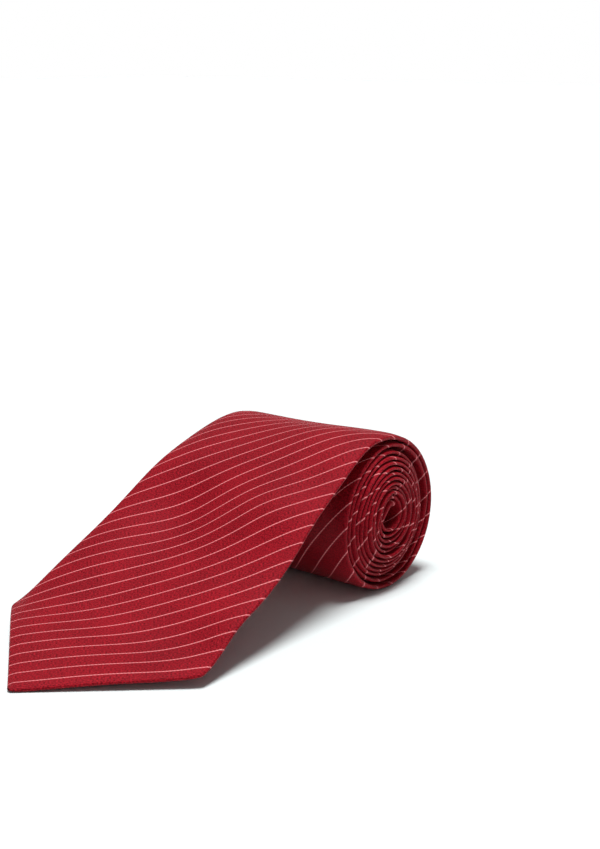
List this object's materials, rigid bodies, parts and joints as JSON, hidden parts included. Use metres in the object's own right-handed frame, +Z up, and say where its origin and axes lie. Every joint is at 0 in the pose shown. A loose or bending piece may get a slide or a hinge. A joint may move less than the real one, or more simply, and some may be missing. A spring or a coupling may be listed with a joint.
{
  "type": "necktie",
  "caption": "Pinstriped satin necktie rolled up from its narrow tail, with the wide pointed blade running down from the roll to the surface.",
  "frame": {"origin": "bottom centre of the whole tie's box, on the surface that the roll and the tip of the blade rest on", "axes": "+X from the tip of the blade towards the roll, +Y along the axis of the roll, +Z up"},
  "size_m": [0.1758, 0.09, 0.0555],
  "materials": {
    "satin": "deep red satin weave with thin pale pink diagonal pinstripes",
    "tipping": "plain dark red lining weave",
    "interlining": "brushed off-white interlining",
    "thread": "dark red sewing thread",
    "label": "blank woven label"
  },
  "bodies": {
    "roll": {"blade_shell_wound": "satin", "neck_shell": "satin", "tail_shell": "satin", "interlining_wound": "interlining", "blade_neck_seam": "thread", "neck_tail_seam": "thread", "slip_stitch_wound": "thread", "tail_bar_tack": "thread", "tail_tipping": "tipping"},
    "blade": {"blade_shell": "satin", "keeper_loop": "satin", "blade_tipping": "tipping", "blade_interlining": "interlining", "slip_stitch_blade": "thread", "slip_stitch_spare_loop": "thread", "blade_bar_tack": "thread", "label_stitch_left": "thread", "label_stitch_right": "thread", "keeper_stitch_left": "thread", "keeper_stitch_right": "thread", "blank_label": "label", "care_label": "label"}
  },
  "joints": [
    {"name": "blade_lift", "type": "hinge", "parent": "roll", "child": "blade", "pos_m": [0.06017, 0, 0.0555], "axis": [0, 1, 0], "range_deg": [0, 80]}
  ]
}
